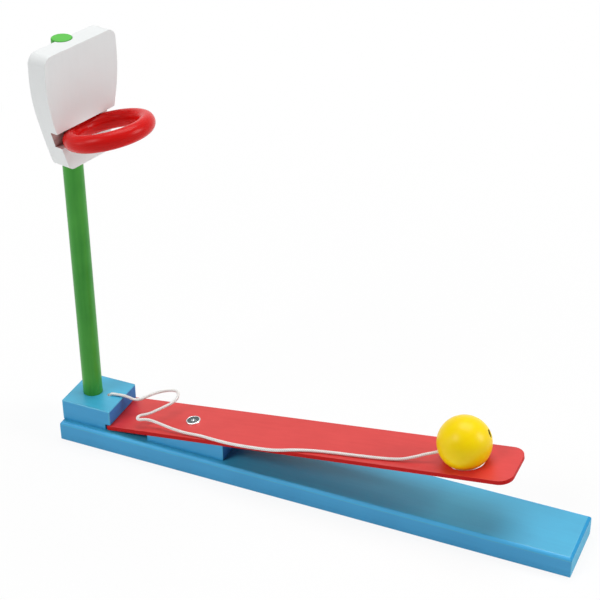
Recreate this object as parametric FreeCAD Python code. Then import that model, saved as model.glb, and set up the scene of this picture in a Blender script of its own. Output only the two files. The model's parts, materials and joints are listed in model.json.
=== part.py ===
import FreeCAD, Part

import math
import os

from FreeCAD import Vector

# Tabletop basketball game: a painted base plank carries a post with a backboard and a hoop at
# one end. A springy strip is trapped under the post block, screwed down over a wedge, and rises
# to a seat hole at its free end. A bored wooden ball rests in the seat, tied by a string to the
# block. The free end is pressed down and let go, and the ball flies up towards the hoop.
#
# Frame: millimetres, +Z up. The origin is the centre of the base's underside, +X runs from the
# post to the free end of the strip, and -Y is the near long side.

# Height of the whole toy, from the table to the pole's top
total_height = 260.2

# Base plank
base_length = 325.0
base_width = 41.5
base_thickness = 13.0
base_edge_round = 2.3

# Post block, set back from the base's end
block_length = 33.3
block_height = 13.8
block_inset = 0.4
block_edge_round = 0.7

# Pole, glued through the block into a socket in the base
pole_diameter = 12.0
pole_from_base_end = 13.0
pole_socket_depth = 5.0
pole_end_round = 0.6
glue_gap = 0.05

# Backboard and hoop turn together about the pole. The board's back lies a little ahead of the
# pole's axis, and the board is glued on slightly off centre.
board_turn_deg = -12.3
board_ahead_of_pole = 0.7
board_off_centre = 0.6
board_thickness = 12.3
board_width = 57.3
board_height = 70.6
board_below_pole_top = 0.4
board_top_corner_round = 6.0
board_bottom_corner_round = 3.0
board_edge_round = 0.5
board_side_height_shares = (0.80, 0.60, 0.40, 0.20)
board_side_width_shares = (0.990, 0.957, 0.846, 0.703)
board_top_width_share = 0.984
board_bottom_width_share = 0.537

# Slot sawn across the backboard's front for the hoop
slot_depth = 5.0
slot_height = 9.7
slot_above_board_foot = 15.1

# Hoop ring, oval in section; its back is trimmed to a tongue that fills the slot
ring_outer_diameter = 52.3
ring_section_width = 9.4
ring_height = 10.1
ring_tilt_deg = 14.5
ring_sunk_in_board = 8.7
ring_above_board_foot = 23.2

# Springy strip, from the heel under the block to the free tip. The block and the wedge take their
# width from it, less a small overhang at each side.
strip_length = 256.6
strip_width = 34.0
strip_overhang = 0.3
strip_thickness = 2.6
strip_rise_deg = 7.86
strip_tuck = 1.8
strip_heel_lift = 0.5
strip_corner_round = 8.0
heel_gap = 0.1
rebate_gap = 0.5
flex_share = 0.15

# Wedge that holds the strip at its slope
wedge_length = 51.1
wedge_from_block = 25.6
wedge_edge_round = 0.3

# Pan-head screw through strip, wedge and base
screw_from_heel = 51.2
screw_length = 20.0
screw_shank_diameter = 4.0
screw_head_diameter = 8.5
screw_head_height = 1.9
screw_hole_gap = 0.1
screw_tip_length = 4.0
screw_rim_share = 0.33
screw_crown_reach_share = 0.6
screw_crown_height_share = 0.85
recess_width = 1.2
recess_span = 4.6
recess_depth = 1.1
recess_turns_deg = (45, 135)

# Ball and its seat hole
ball_diameter = 31.4
ball_seat_gap = 0.25
seat_hole_diameter = 22.3
seat_hole_chamfer = 0.7
seat_from_tip = 30.8
bore_turn_deg = 23.0
bore_rise_deg = 23.0
bore_diameter = 2.6
bore_length = 7.0
knot_bore_diameter = 4.6
knot_bore_chamfer = 0.5

# String, glued in a hole in the block and knotted inside the ball
string_diameter = 1.75
string_hole_diameter = 2.6
string_hole_depth = 6.0
string_hole_from_pole = 11.9
string_hole_chamfer = 0.3
knot_diameter = 3.8
string_bend_share = 0.45

# One overrun serves every cut, and one small distance every search for an edge
overrun = 5.0
near = 0.001

# The string's route. Points over the block are (x, y, height over the block's top). Points over
# the strip are (distance from the heel, y, height over the strip's top face).
route_over_block = (
    (-137.6, 0.0, -3.0),
    (-137.6, 0.0, 1.0),
    (-133.6, 0.5, 1.1),
    (-127.4, 1.6, 1.1),
)
route_over_root = (
    (13.9, 1.5, 9.8),
    (20.1, 6.0, 11.0),
    (25.6, 9.5, 12.0),
    (31.7, 12.0, 12.4),
    (38.0, 12.4, 11.9),
    (40.2, 9.0, 10.6),
    (39.2, 5.4, 9.2),
    (34.4, 2.0, 8.0),
    (29.6, -2.7, 7.0),
    (24.6, -7.6, 5.8),
    (18.2, -9.2, 5.0),
    (19.4, -13.0, 4.9),
    (25.6, -10.8, 4.6),
    (34.8, -10.9, 3.8),
    (44.1, -12.7, 2.6),
    (53.4, -13.9, 1.5),
    (63.8, -14.6, 0.95),
    (74.5, -16.7, 1.0),
    (84.5, -18.0, 0.7),
    (95.0, -18.0, 0.2),
)
route_over_blade = (
    (112.0, -18.0, 0.2),
    (119.0, -17.7, 1.0),
    (127.0, -15.4, 1.05),
    (143.0, -13.2, 0.95),
    (165.0, -12.7, 0.95),
)
route_to_ball = (
    (184.0, -11.8, 0.95),
    (192.0, -10.8, 1.5),
    (199.0, -9.0, 3.0),
    (205.5, -7.3, 4.9),
)
ball_lift_station = 176.0

# Places worked out from the sizes above
block_start = -base_length / 2 + block_inset
block_face = block_start + block_length
block_top = base_thickness + block_height
block_width = strip_width - 2 * strip_overhang
pole_x = -base_length / 2 + pole_from_base_end
pole_radius = pole_diameter / 2
pole_top = total_height
board_top = pole_top - board_below_pole_top
board_foot = board_top - board_height
board_front = board_ahead_of_pole + board_thickness
slot_floor = board_front - slot_depth
slot_foot = board_foot + slot_above_board_foot
slot_top = slot_foot + slot_height
ring_mid_height = board_foot + ring_above_board_foot
ring_middle_radius = (ring_outer_diameter - ring_section_width) / 2
strip_rise = math.radians(strip_rise_deg)
heel_x = block_face - strip_tuck
heel_z = base_thickness + strip_heel_lift
wedge_start = block_face + wedge_from_block
wedge_end = wedge_start + wedge_length
wedge_width = block_width
clamp_station = (wedge_end - heel_x) / math.cos(strip_rise)
flex_station = clamp_station + flex_share * (strip_length - clamp_station)
seat_station = strip_length - seat_from_tip
ball_radius = ball_diameter / 2
string_radius = string_diameter / 2
seat_mouth_radius = seat_hole_diameter / 2 + seat_hole_chamfer
ball_height = (ball_radius + ball_seat_gap) * math.sqrt(2) - seat_mouth_radius


def strip_point(station, side, height):
    """Point at a distance along the strip, a side offset and a height over its top face."""
    rise = strip_thickness + height
    return Vector(
        heel_x + station * math.cos(strip_rise) - rise * math.sin(strip_rise),
        side,
        heel_z + station * math.sin(strip_rise) + rise * math.cos(strip_rise),
    )


def lay_on_strip(shape):
    """Move a shape made flat, with its heel at the origin, onto the strip's slope."""
    shape.rotate(Vector(0, 0, 0), Vector(0, 1, 0), -strip_rise_deg)
    shape.translate(Vector(heel_x, 0, heel_z))
    return shape


def turn_on_pole(shape):
    """Move a shape made around the pole's axis to the pole, turned as the backboard is."""
    shape.rotate(Vector(0, 0, 0), Vector(0, 0, 1), board_turn_deg)
    shape.translate(Vector(pole_x, 0, 0))
    return shape


def edges_where(shape, test):
    """Edges whose middle point passes a test."""
    chosen = []
    for edge in shape.Edges:
        middle = edge.valueAt((edge.FirstParameter + edge.LastParameter) / 2)
        if test(middle, edge):
            chosen.append(edge)
    return chosen


def is_upright(edge):
    return edge.BoundBox.XLength < near and edge.BoundBox.YLength < near


def cylinder(radius, height, foot, direction=Vector(0, 0, 1)):
    return Part.makeCylinder(radius, height, foot, direction)


def make_base_board():
    board = Part.makeBox(
        base_length, base_width, base_thickness, Vector(-base_length / 2, -base_width / 2, 0)
    )
    top_edges = edges_where(board, lambda p, edge: p.z > base_thickness - near)
    board = board.makeFillet(base_edge_round, top_edges)
    socket = cylinder(
        pole_radius + glue_gap,
        pole_socket_depth + overrun,
        Vector(pole_x, 0, base_thickness - pole_socket_depth),
    )
    return board.cut(socket).cut(make_screw_hole(screw_shank_diameter / 2 + glue_gap))


def strip_top_at_block_face():
    """Height of the strip's upper face where it leaves the block's rebate."""
    slope_thickness = strip_thickness / math.cos(strip_rise)
    return heel_z + strip_tuck * math.tan(strip_rise) + slope_thickness


def make_post_block():
    block = Part.makeBox(
        block_length,
        block_width,
        block_height,
        Vector(block_start, -block_width / 2, base_thickness),
    )
    upper_edges = edges_where(
        block, lambda p, edge: p.z > block_top - near or is_upright(edge)
    )
    block = block.makeFillet(block_edge_round, upper_edges)
    pole_hole = cylinder(
        pole_radius + glue_gap, block_height + 2 * overrun, Vector(pole_x, 0, base_thickness - overrun)
    )
    string_x = pole_x + string_hole_from_pole
    string_hole = cylinder(
        string_hole_diameter / 2,
        string_hole_depth + overrun,
        Vector(string_x, 0, block_top - string_hole_depth),
    )
    string_flare = Part.makeCone(
        string_hole_diameter / 2,
        string_hole_diameter / 2 + string_hole_chamfer,
        string_hole_chamfer,
        Vector(string_x, 0, block_top - string_hole_chamfer),
    )
    rebate_depth = strip_tuck + rebate_gap
    rebate_top = strip_top_at_block_face() + heel_gap
    rebate = Part.makeBox(
        rebate_depth + overrun,
        block_width + 2 * overrun,
        rebate_top - base_thickness + overrun,
        Vector(block_face - rebate_depth, -block_width / 2 - overrun, base_thickness - overrun),
    )
    return block.cut(pole_hole).cut(string_hole).cut(string_flare).cut(rebate)


def make_pole():
    foot = base_thickness - pole_socket_depth
    pole = cylinder(pole_radius, pole_top - foot, Vector(pole_x, 0, foot))
    end_edges = edges_where(pole, lambda p, edge: edge.BoundBox.ZLength < near)
    return pole.makeFillet(pole_end_round, end_edges)


def ring_reach():
    """How far the ring's centre stands ahead of the board, for the depth that it is sunk."""
    tilt = math.radians(ring_tilt_deg)
    half_width = ring_section_width / 2 * math.cos(tilt)
    half_height = ring_height / 2 * math.sin(tilt)
    back = ring_middle_radius * math.cos(tilt) + math.hypot(half_width, half_height)
    return back - ring_sunk_in_board


def make_ring_blank():
    """The turned ring before its back is trimmed, around the pole's axis.

    It is joined from two half turns, because a full turn of an oval loses its trimming in STEP.
    """
    centre = Vector(ring_middle_radius, 0, 0)
    half_width = Vector(ring_section_width / 2, 0, 0)
    half_height = Vector(0, 0, ring_height / 2)
    long_half, short_half = sorted((half_width, half_height), key=lambda half: -half.Length)
    section = Part.Ellipse(centre + long_half, centre + short_half, centre)
    halves = []
    for side in (1, -1):
        face = Part.Face(Part.Wire([section.toShape()]))
        face.rotate(Vector(0, 0, 0), Vector(0, 0, 1), side * 90)
        halves.append(face.revolve(Vector(0, 0, 0), Vector(0, 0, 1), 180))
    ring = halves[0].fuse(halves[1])
    ring.rotate(Vector(0, 0, 0), Vector(0, 1, 0), -ring_tilt_deg)
    ring.translate(Vector(board_front + ring_reach(), board_off_centre, ring_mid_height))
    return ring


def slot_box(gap, run_out):
    """The slot's room, less a gap to its floor, foot and top, run out ahead and to the sides."""
    return Part.makeBox(
        slot_depth - gap + run_out,
        board_width + 2 * overrun,
        slot_height - 2 * gap,
        Vector(slot_floor + gap, board_off_centre - board_width / 2 - overrun, slot_foot + gap),
    )


def make_hoop_ring():
    """The ring, with all that would be inside the board's wood taken off its back."""
    ring = make_ring_blank()
    size = ring_outer_diameter + ring_sunk_in_board
    behind_front = Part.makeBox(
        size, 2 * size, 2 * size, Vector(board_front + glue_gap - size, -size, ring_mid_height - size)
    )
    return turn_on_pole(ring.cut(behind_front.cut(slot_box(glue_gap, overrun))))


def board_outline():
    """The board's front outline: level top and foot, with bulging sides that draw in below."""
    height_shares = (1.0, *board_side_height_shares, 0.0)
    width_shares = (board_top_width_share, *board_side_width_shares, board_bottom_width_share)
    sides = []
    curves = []
    for side in (1, -1):
        sides.append([
            Vector(board_ahead_of_pole, side * width * board_width / 2, board_foot + height * board_height)
            for height, width in zip(height_shares, width_shares)
        ])
        curve = Part.BSplineCurve()
        curve.interpolate(sides[-1])
        curves.append(curve.toShape())
    top_edge = Part.makeLine(sides[1][0], sides[0][0])
    foot_edge = Part.makeLine(sides[0][-1], sides[1][-1])
    return Part.Wire([top_edge, curves[0], foot_edge, curves[1]])


def make_backboard():
    board = Part.Face(board_outline()).extrude(Vector(board_thickness, 0, 0))

    def runs_through(edge):
        return edge.BoundBox.YLength < near and edge.BoundBox.ZLength < near

    top_corners = edges_where(board, lambda p, e: runs_through(e) and p.z > board_top - near)
    board = board.makeFillet(board_top_corner_round, top_corners)
    foot_corners = edges_where(board, lambda p, e: runs_through(e) and p.z < board_foot + near)
    board = board.makeFillet(board_bottom_corner_round, foot_corners)
    outlines = edges_where(board, lambda p, e: e.BoundBox.XLength < near)
    board = board.makeFillet(board_edge_round, outlines)
    board.translate(Vector(0, board_off_centre, 0))
    groove = cylinder(
        pole_radius + glue_gap, board_height + 2 * overrun, Vector(0, 0, board_foot - overrun)
    )
    return turn_on_pole(board.cut(slot_box(0, overrun)).cut(groove))


def make_wedge_block():
    """Wedge under the strip; its top lies along the strip's underside."""
    rise = math.tan(strip_rise)
    low_height = heel_z + (wedge_start - heel_x) * rise
    high_height = heel_z + (wedge_end - heel_x) * rise
    side = -wedge_width / 2
    corners = [
        Vector(wedge_start, side, base_thickness),
        Vector(wedge_end, side, base_thickness),
        Vector(wedge_end, side, high_height),
        Vector(wedge_start, side, low_height),
    ]
    face = Part.Face(Part.makePolygon(corners + corners[:1]))
    wedge = face.extrude(Vector(0, wedge_width, 0))
    wedge = wedge.makeFillet(wedge_edge_round, edges_where(wedge, lambda p, edge: is_upright(edge)))
    return wedge.cut(make_screw_hole(screw_shank_diameter / 2 + glue_gap))


def make_screw_hole(radius):
    """The screw's hole, square to the strip, from above it down to the screw's tip."""
    reach = screw_length - strip_thickness + screw_hole_gap
    hole = cylinder(radius, reach + strip_thickness + overrun, Vector(screw_from_heel, 0, -reach))
    return lay_on_strip(hole)


def make_strip_blank():
    """The whole strip, flat, with its heel at the origin and its free corners rounded."""
    strip = Part.makeBox(
        strip_length, strip_width, strip_thickness, Vector(0, -strip_width / 2, 0)
    )
    tip_corners = edges_where(
        strip, lambda p, edge: p.x > strip_length - near and is_upright(edge)
    )
    return strip.makeFillet(strip_corner_round, tip_corners)


def strip_stretch(start, end):
    """The part of the flat strip between two stations."""
    keep = Part.makeBox(
        end - start,
        strip_width + 2 * overrun,
        strip_thickness + 2 * overrun,
        Vector(start, -strip_width / 2 - overrun, -overrun),
    )
    return make_strip_blank().common(keep)


def make_strip_root():
    """The stretch of strip that the block, wedge and screw hold still."""
    root = lay_on_strip(strip_stretch(0, flex_station))
    return root.cut(make_screw_hole(screw_shank_diameter / 2 + screw_hole_gap))


def make_launch_strip():
    """The stretch of strip that bends down and springs back, with the ball's seat hole."""
    blade = strip_stretch(flex_station, strip_length)
    hole = cylinder(
        seat_hole_diameter / 2,
        strip_thickness + 2 * overrun,
        Vector(seat_station, 0, -overrun),
    )
    flare = Part.makeCone(
        seat_hole_diameter / 2,
        seat_mouth_radius,
        seat_hole_chamfer,
        Vector(seat_station, 0, strip_thickness - seat_hole_chamfer),
    )
    return lay_on_strip(blade.cut(hole).cut(flare))


def make_strip_screw():
    """Pan-head wood screw with a pointed tip and a cross recess, made upright on the strip."""
    head_radius = screw_head_diameter / 2
    shank_radius = screw_shank_diameter / 2
    rim_height = screw_rim_share * screw_head_height
    tip = strip_thickness - screw_length
    crown = Part.Arc(
        Vector(head_radius, 0, strip_thickness + rim_height),
        Vector(
            screw_crown_reach_share * head_radius,
            0,
            strip_thickness + screw_crown_height_share * screw_head_height,
        ),
        Vector(0, 0, strip_thickness + screw_head_height),
    )
    points = [
        Vector(0, 0, strip_thickness + screw_head_height),
        Vector(0, 0, tip),
        Vector(shank_radius, 0, tip + screw_tip_length),
        Vector(shank_radius, 0, strip_thickness),
        Vector(head_radius, 0, strip_thickness),
        Vector(head_radius, 0, strip_thickness + rim_height),
    ]
    outline = [Part.makeLine(a, b) for a, b in zip(points, points[1:])]
    outline.append(crown.toShape())
    screw = Part.Face(Part.Wire(outline)).revolve(Vector(0, 0, 0), Vector(0, 0, 1), 360)
    recess_foot = strip_thickness + screw_head_height - recess_depth
    for turn in recess_turns_deg:
        arm = Part.makeBox(
            recess_span,
            recess_width,
            recess_depth + overrun,
            Vector(-recess_span / 2, -recess_width / 2, recess_foot),
        )
        arm.rotate(Vector(0, 0, 0), Vector(0, 0, 1), turn)
        screw = screw.cut(arm)
    screw.translate(Vector(screw_from_heel, 0, 0))
    return lay_on_strip(screw)


def ball_centre():
    return strip_point(seat_station, 0, ball_height)


def bore_direction():
    """Unit vector along the ball's bore, from the string's entry to the knot's mouth."""
    turn = math.radians(bore_turn_deg)
    rise = math.radians(bore_rise_deg)
    return Vector(
        math.cos(rise) * math.cos(turn), math.cos(rise) * math.sin(turn), math.sin(rise)
    )


def make_ball():
    """Wooden ball with a stepped bore: narrow for the string, wide behind it for the knot."""
    centre = ball_centre()
    along = bore_direction()
    ball = Part.makeSphere(ball_radius, centre)
    entry = centre - along * (ball_radius + overrun)
    narrow = cylinder(bore_diameter / 2, bore_length + overrun, entry, along)
    shoulder = centre - along * (ball_radius - bore_length)
    wide_length = ball_diameter - bore_length
    mouth_height = math.sqrt(ball_radius**2 - (knot_bore_diameter / 2) ** 2)
    wide = cylinder(knot_bore_diameter / 2, wide_length + overrun, shoulder, along)
    flare = Part.makeCone(
        knot_bore_diameter / 2,
        knot_bore_diameter / 2 + overrun,
        overrun,
        centre + along * (mouth_height - knot_bore_chamfer),
        along,
    )
    return ball.cut(narrow).cut(wide).cut(flare)


def block_route():
    return [Vector(x, y, block_top + height) for x, y, height in route_over_block]


def strip_route(rows):
    return [strip_point(*row) for row in rows]


def point_between(a, b, share):
    return a + (b - a) * share


def station_cut(before, after, station):
    """The point of a run over the strip where it passes a station."""
    share = (station - before[0]) / (after[0] - before[0])
    return point_between(strip_point(*before), strip_point(*after), share)


def rounded_path(points, name):
    """Straight runs joined by the largest tangent arcs that the runs allow."""
    edges = []
    radii = []
    start = points[0]
    for before, corner, after in zip(points, points[1:], points[2:]):
        into = corner - before
        out = after - corner
        half_turn = into.getAngle(out) / 2
        setback = string_bend_share * min(into.Length, out.Length)
        radii.append(setback / math.tan(half_turn))
        into.normalize()
        out.normalize()
        arc_start = corner - into * setback
        arc_end = corner + out * setback
        bulge = out - into
        bulge.normalize()
        sagitta_point = corner + bulge * (
            radii[-1] / math.cos(half_turn) - radii[-1]
        )
        edges.append(Part.LineSegment(start, arc_start).toShape())
        edges.append(Part.Arc(arc_start, sagitta_point, arc_end).toShape())
        start = arc_end
    edges.append(Part.LineSegment(start, points[-1]).toShape())
    path = Part.Wire(edges)
    print(name, "radii", " ".join(f"{radius:.1f}" for radius in radii))
    return path


def make_string(points, name):
    """A round cord swept along the rounded path."""
    path = rounded_path(points, name)
    direction = points[1] - points[0]
    section = Part.Wire([Part.makeCircle(string_radius, points[0], direction)])
    tube = path.makePipeShell([section], True, False)
    expected = math.pi * string_radius**2 * path.Length
    print(name, "length", round(path.Length, 1), "volume ratio", round(tube.Volume / expected, 4))
    return tube


def make_string_at_post():
    """From the glued end in the block, round the loose loop and along the strip's held part."""
    end = station_cut(route_over_root[-1], route_over_blade[0], flex_station)
    points = block_route() + strip_route(route_over_root) + [end]
    return make_string(points, "string_at_post")


def make_string_on_strip():
    """From the place where the strip bends to the place where the string lifts with the ball."""
    start = station_cut(route_over_root[-1], route_over_blade[0], flex_station)
    end = station_cut(route_over_blade[-1], route_to_ball[0], ball_lift_station)
    return make_string([start] + strip_route(route_over_blade) + [end], "string_on_strip")


def make_string_at_ball():
    """Into the ball's bore, with the knot that stops it against the bore's shoulder."""
    start = station_cut(route_over_blade[-1], route_to_ball[0], ball_lift_station)
    centre = ball_centre()
    along = bore_direction()
    mouth = centre - along * ball_radius
    shoulder = centre - along * (ball_radius - bore_length)
    points = [start] + strip_route(route_to_ball) + [mouth, shoulder]
    tube = make_string(points, "string_at_ball")
    knot_radius = knot_diameter / 2
    knot_seat = math.sqrt(knot_radius**2 - (bore_diameter / 2) ** 2) + glue_gap
    knot = Part.makeSphere(knot_radius, shoulder + along * knot_seat)
    return tube.fuse(knot)


def main():
    os.makedirs("parts", exist_ok=True)
    pieces = {
        "base_board": make_base_board(),
        "post_block": make_post_block(),
        "pole": make_pole(),
        "backboard": make_backboard(),
        "hoop_ring": make_hoop_ring(),
        "wedge_block": make_wedge_block(),
        "strip_root": make_strip_root(),
        "launch_strip": make_launch_strip(),
        "strip_screw": make_strip_screw(),
        "ball": make_ball(),
        "string_at_post": make_string_at_post(),
        "string_on_strip": make_string_on_strip(),
        "string_at_ball": make_string_at_ball(),
    }
    for name, shape in pieces.items():
        box = shape.BoundBox
        print(name, "solids", len(shape.Solids), "valid", shape.isValid(), box)
        shape.exportStep(f"parts/{name}.step")
    print("flex station", round(flex_station, 2), strip_point(flex_station, 0, -strip_thickness))
    print("ball centre", ball_centre(), "ring centre from the board", ring_reach(), ring_mid_height)


main()
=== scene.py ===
# %% [markdown]
# # A tabletop basketball game in painted wood
# A plank carries a green pole with a white backboard and a red hoop. A thin red strip is screwed
# down over a wedge, and its free end holds a yellow ball that is tied to the toy by a string.
# Press the free end and let go, and the ball flies up at the hoop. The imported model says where
# each piece is, so this file never guesses a place: it reads the boxes and the joints, and then
# models each piece in finer detail than a machining model needs.

# %% Load the frame
import json
import math

import bmesh
import bpy
from mathutils import Matrix, Vector


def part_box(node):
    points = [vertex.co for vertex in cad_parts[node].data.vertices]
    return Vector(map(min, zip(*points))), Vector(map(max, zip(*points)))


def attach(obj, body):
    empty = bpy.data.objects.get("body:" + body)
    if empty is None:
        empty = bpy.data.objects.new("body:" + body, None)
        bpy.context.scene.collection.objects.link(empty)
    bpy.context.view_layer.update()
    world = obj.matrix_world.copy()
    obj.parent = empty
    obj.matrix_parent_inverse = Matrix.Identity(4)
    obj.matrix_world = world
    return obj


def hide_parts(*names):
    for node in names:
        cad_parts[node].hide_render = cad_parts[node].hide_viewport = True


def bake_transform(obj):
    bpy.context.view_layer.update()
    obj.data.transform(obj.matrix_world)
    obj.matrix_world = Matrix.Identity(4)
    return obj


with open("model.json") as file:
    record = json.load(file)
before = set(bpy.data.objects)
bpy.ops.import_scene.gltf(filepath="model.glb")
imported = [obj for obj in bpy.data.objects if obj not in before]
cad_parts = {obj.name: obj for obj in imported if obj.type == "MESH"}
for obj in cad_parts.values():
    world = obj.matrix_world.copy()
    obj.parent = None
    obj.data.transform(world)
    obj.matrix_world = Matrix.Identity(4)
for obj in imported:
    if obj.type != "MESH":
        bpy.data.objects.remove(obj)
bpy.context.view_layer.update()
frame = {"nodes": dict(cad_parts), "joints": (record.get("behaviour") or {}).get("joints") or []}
mm = 0.001
tiny = 0.01 * mm
print("nodes", sorted(frame["nodes"]))

# %% [markdown]
# ## The camera
# The camera was solved from the straight edges of the plank, the strip and the pole: where it
# stands, which way it looks and how long its lens is all follow from them. A long lens from
# almost a metre away gives the calm perspective of a catalogue picture. The view is written as a
# photographer would say it: how far round the toy, how far up, and a slight lean of the camera.

# %% Place the camera
camera_place = Vector((0.30251, -0.69746, 0.59586))
view_round = math.radians(24.04)
view_up = math.radians(31.564)
view_roll = math.radians(-0.423)
sensor_width = 36.0
image_size = 600
lens_pixels = 1609.33


def add_object(name, data):
    """Put new data in the scene as an object."""
    new_object = bpy.data.objects.new(name, data)
    bpy.context.scene.collection.objects.link(new_object)
    return new_object


camera_data = bpy.data.cameras.new("view_camera")
camera_data.sensor_width = sensor_width
camera_data.lens = lens_pixels / image_size * sensor_width
camera = add_object("view_camera", camera_data)
tilt_up = Matrix.Rotation(math.pi / 2 - view_up, 4, "X")
turn_round = Matrix.Rotation(view_round, 4, "Z")
lean = Matrix.Rotation(view_roll, 4, "Z")
camera.matrix_world = Matrix.Translation(camera_place) @ turn_round @ tilt_up @ lean
bpy.context.scene.camera = camera
print("lens", round(camera_data.lens, 2), "mm")

# %% [markdown]
# ## The strip's own frame
# The strip climbs from under the post block to its free end. The string lies along it, the screw
# stands square to it and the ball rests on it, so places are written as a distance along the
# strip, a distance to the side and a height over its top face. The slide joint of the ball runs
# along the strip's normal, and the box of the strip's root gives its heel.

# %% Read the strip's slope
joints = {joint["name"]: joint for joint in frame["joints"]}
strip_normal = Vector(joints["ball_lift"]["axis"]).normalized()
strip_along = Vector((strip_normal.z, 0, -strip_normal.x))
strip_rise = math.atan2(strip_along.z, strip_along.x)
strip_thickness = 2.6 * mm
root_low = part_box("strip_root")[0]
heel = Vector((root_low.x + strip_thickness * math.sin(strip_rise), 0, root_low.z))


def strip_point(station, side, height):
    """A point at a distance along the strip, to the side, and over its top face."""
    over = strip_thickness + height
    return heel + strip_along * station + Vector((0, side, 0)) + strip_normal * over


print("strip rises", round(math.degrees(strip_rise), 2), "degrees from", heel)

# %% [markdown]
# ## The string's line
# The string is thin waxed cotton. It comes out of a hole in the post block, makes a loose
# standing loop, folds back on itself, and runs along the near edge of the strip to the ball. One
# smooth spline carries the whole line: the points are a listed route, and the curve passes
# smoothly between them. A single spline has no kink anywhere, which a chain of shorter ones would.

# %% Lay the string's spline
route_over_block = (
    (-137.6, 0.0, -3.0),
    (-137.6, 0.0, 1.0),
    (-133.6, 0.5, 1.1),
    (-127.4, 1.6, 1.1),
)
route_over_strip = (
    (13.2, 1.0, 8.7),
    (20.1, 6.0, 11.0),
    (25.6, 9.5, 12.0),
    (31.7, 12.0, 12.4),
    (36.4, 12.4, 11.9),
    (38.5, 9.0, 10.6),
    (37.8, 5.4, 9.4),
    (34.4, 2.0, 8.0),
    (29.6, -2.7, 7.0),
    (25.4, -6.8, 6.0),
    (19.0, -9.0, 5.3),
    (20.0, -13.2, 4.9),
    (26.2, -10.4, 4.7),
    (34.8, -11.4, 3.3),
    (44.1, -13.2, 2.1),
    (53.4, -14.3, 1.2),
    (63.8, -14.6, 0.95),
    (74.5, -16.7, 1.0),
    (84.5, -18.0, 0.7),
    (95.0, -18.0, 0.2),
    (112.0, -18.0, 0.2),
    (119.0, -17.7, 1.0),
    (127.0, -15.4, 1.05),
    (143.0, -13.2, 0.95),
    (165.0, -12.7, 0.95),
    (184.0, -11.8, 0.95),
    (192.0, -10.8, 1.5),
    (199.0, -9.0, 3.0),
    (205.5, -7.3, 4.9),
)
ball_low, ball_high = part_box("ball")
ball_centre = (ball_low + ball_high) / 2
ball_radius = (ball_high.y - ball_low.y) / 2
bore_turn = math.radians(20.5)
bore_rise = math.radians(26.5)
bore_length = 7.0 * mm
bore_along = Vector((math.cos(bore_rise) * math.cos(bore_turn),
                     math.cos(bore_rise) * math.sin(bore_turn),
                     math.sin(bore_rise)))
bore_mouth = ball_centre - bore_along * ball_radius
bore_shoulder = ball_centre - bore_along * (ball_radius - bore_length)
block_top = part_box("post_block")[1].z
closest_points = 0.05 * mm

route = [Vector((x * mm, y * mm, block_top + z * mm)) for x, y, z in route_over_block]
route += [strip_point(s * mm, y * mm, h * mm) for s, y, h in route_over_strip]
route += [bore_mouth, bore_shoulder]

line_data = bpy.data.curves.new("string_line", "CURVE")
line_data.dimensions = "3D"
line_data.resolution_u = 12
spline = line_data.splines.new("NURBS")
spline.points.add(len(route) - 1)
for point, place in zip(spline.points, route):
    point.co = (*place, 1)
spline.order_u = 3
spline.use_endpoint_u = True
line = add_object("string_line", line_data)
bpy.context.view_layer.update()
line_mesh = bpy.data.meshes.new_from_object(line)
string_path = [line_mesh.vertices[0].co.copy()]
for vertex in line_mesh.vertices:
    if (vertex.co - string_path[-1]).length > closest_points:
        string_path.append(vertex.co.copy())
bpy.data.objects.remove(line)
bpy.data.meshes.remove(line_mesh)
print("spline through", len(route), "points")

# %% Measure the string
straight_radius = 1.0
least_area = 1e-14


def path_length(points):
    return sum((b - a).length for a, b in zip(points, points[1:]))


def bend_radii(points):
    """The radius of the circle through each three neighbouring points."""
    radii = []
    for a, b, c in zip(points, points[1:], points[2:]):
        area = (b - a).cross(c - a).length / 2
        sides = (b - a).length * (c - b).length * (c - a).length
        radii.append(sides / (4 * area) if area > least_area else straight_radius)
    return radii


string_bends = bend_radii(string_path)
tightest = min(string_bends)
print("string", len(string_path), "points,", round(path_length(string_path) / mm, 1), "mm,",
      "tightest bend", round(tightest / mm, 2), "mm at point", string_bends.index(tightest))

# %% [markdown]
# ## The string's tubes
# When the ball lifts off, its end of the string goes with it while the rest stays on the strip,
# so the line is cut in two at the place where it starts to rise to the ball. Each stretch
# becomes a tube: a ring of corners is carried along the line, turned only as much as the line
# turns, so the twist of the yarn stays even. The rings are joined by faces, the ends are closed,
# and a map of the surface (once round by once along) lets the yarn's twist follow the tube.

# %% Make a tube along a line
string_diameter = 1.75 * mm
tube_sides = 16


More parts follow.
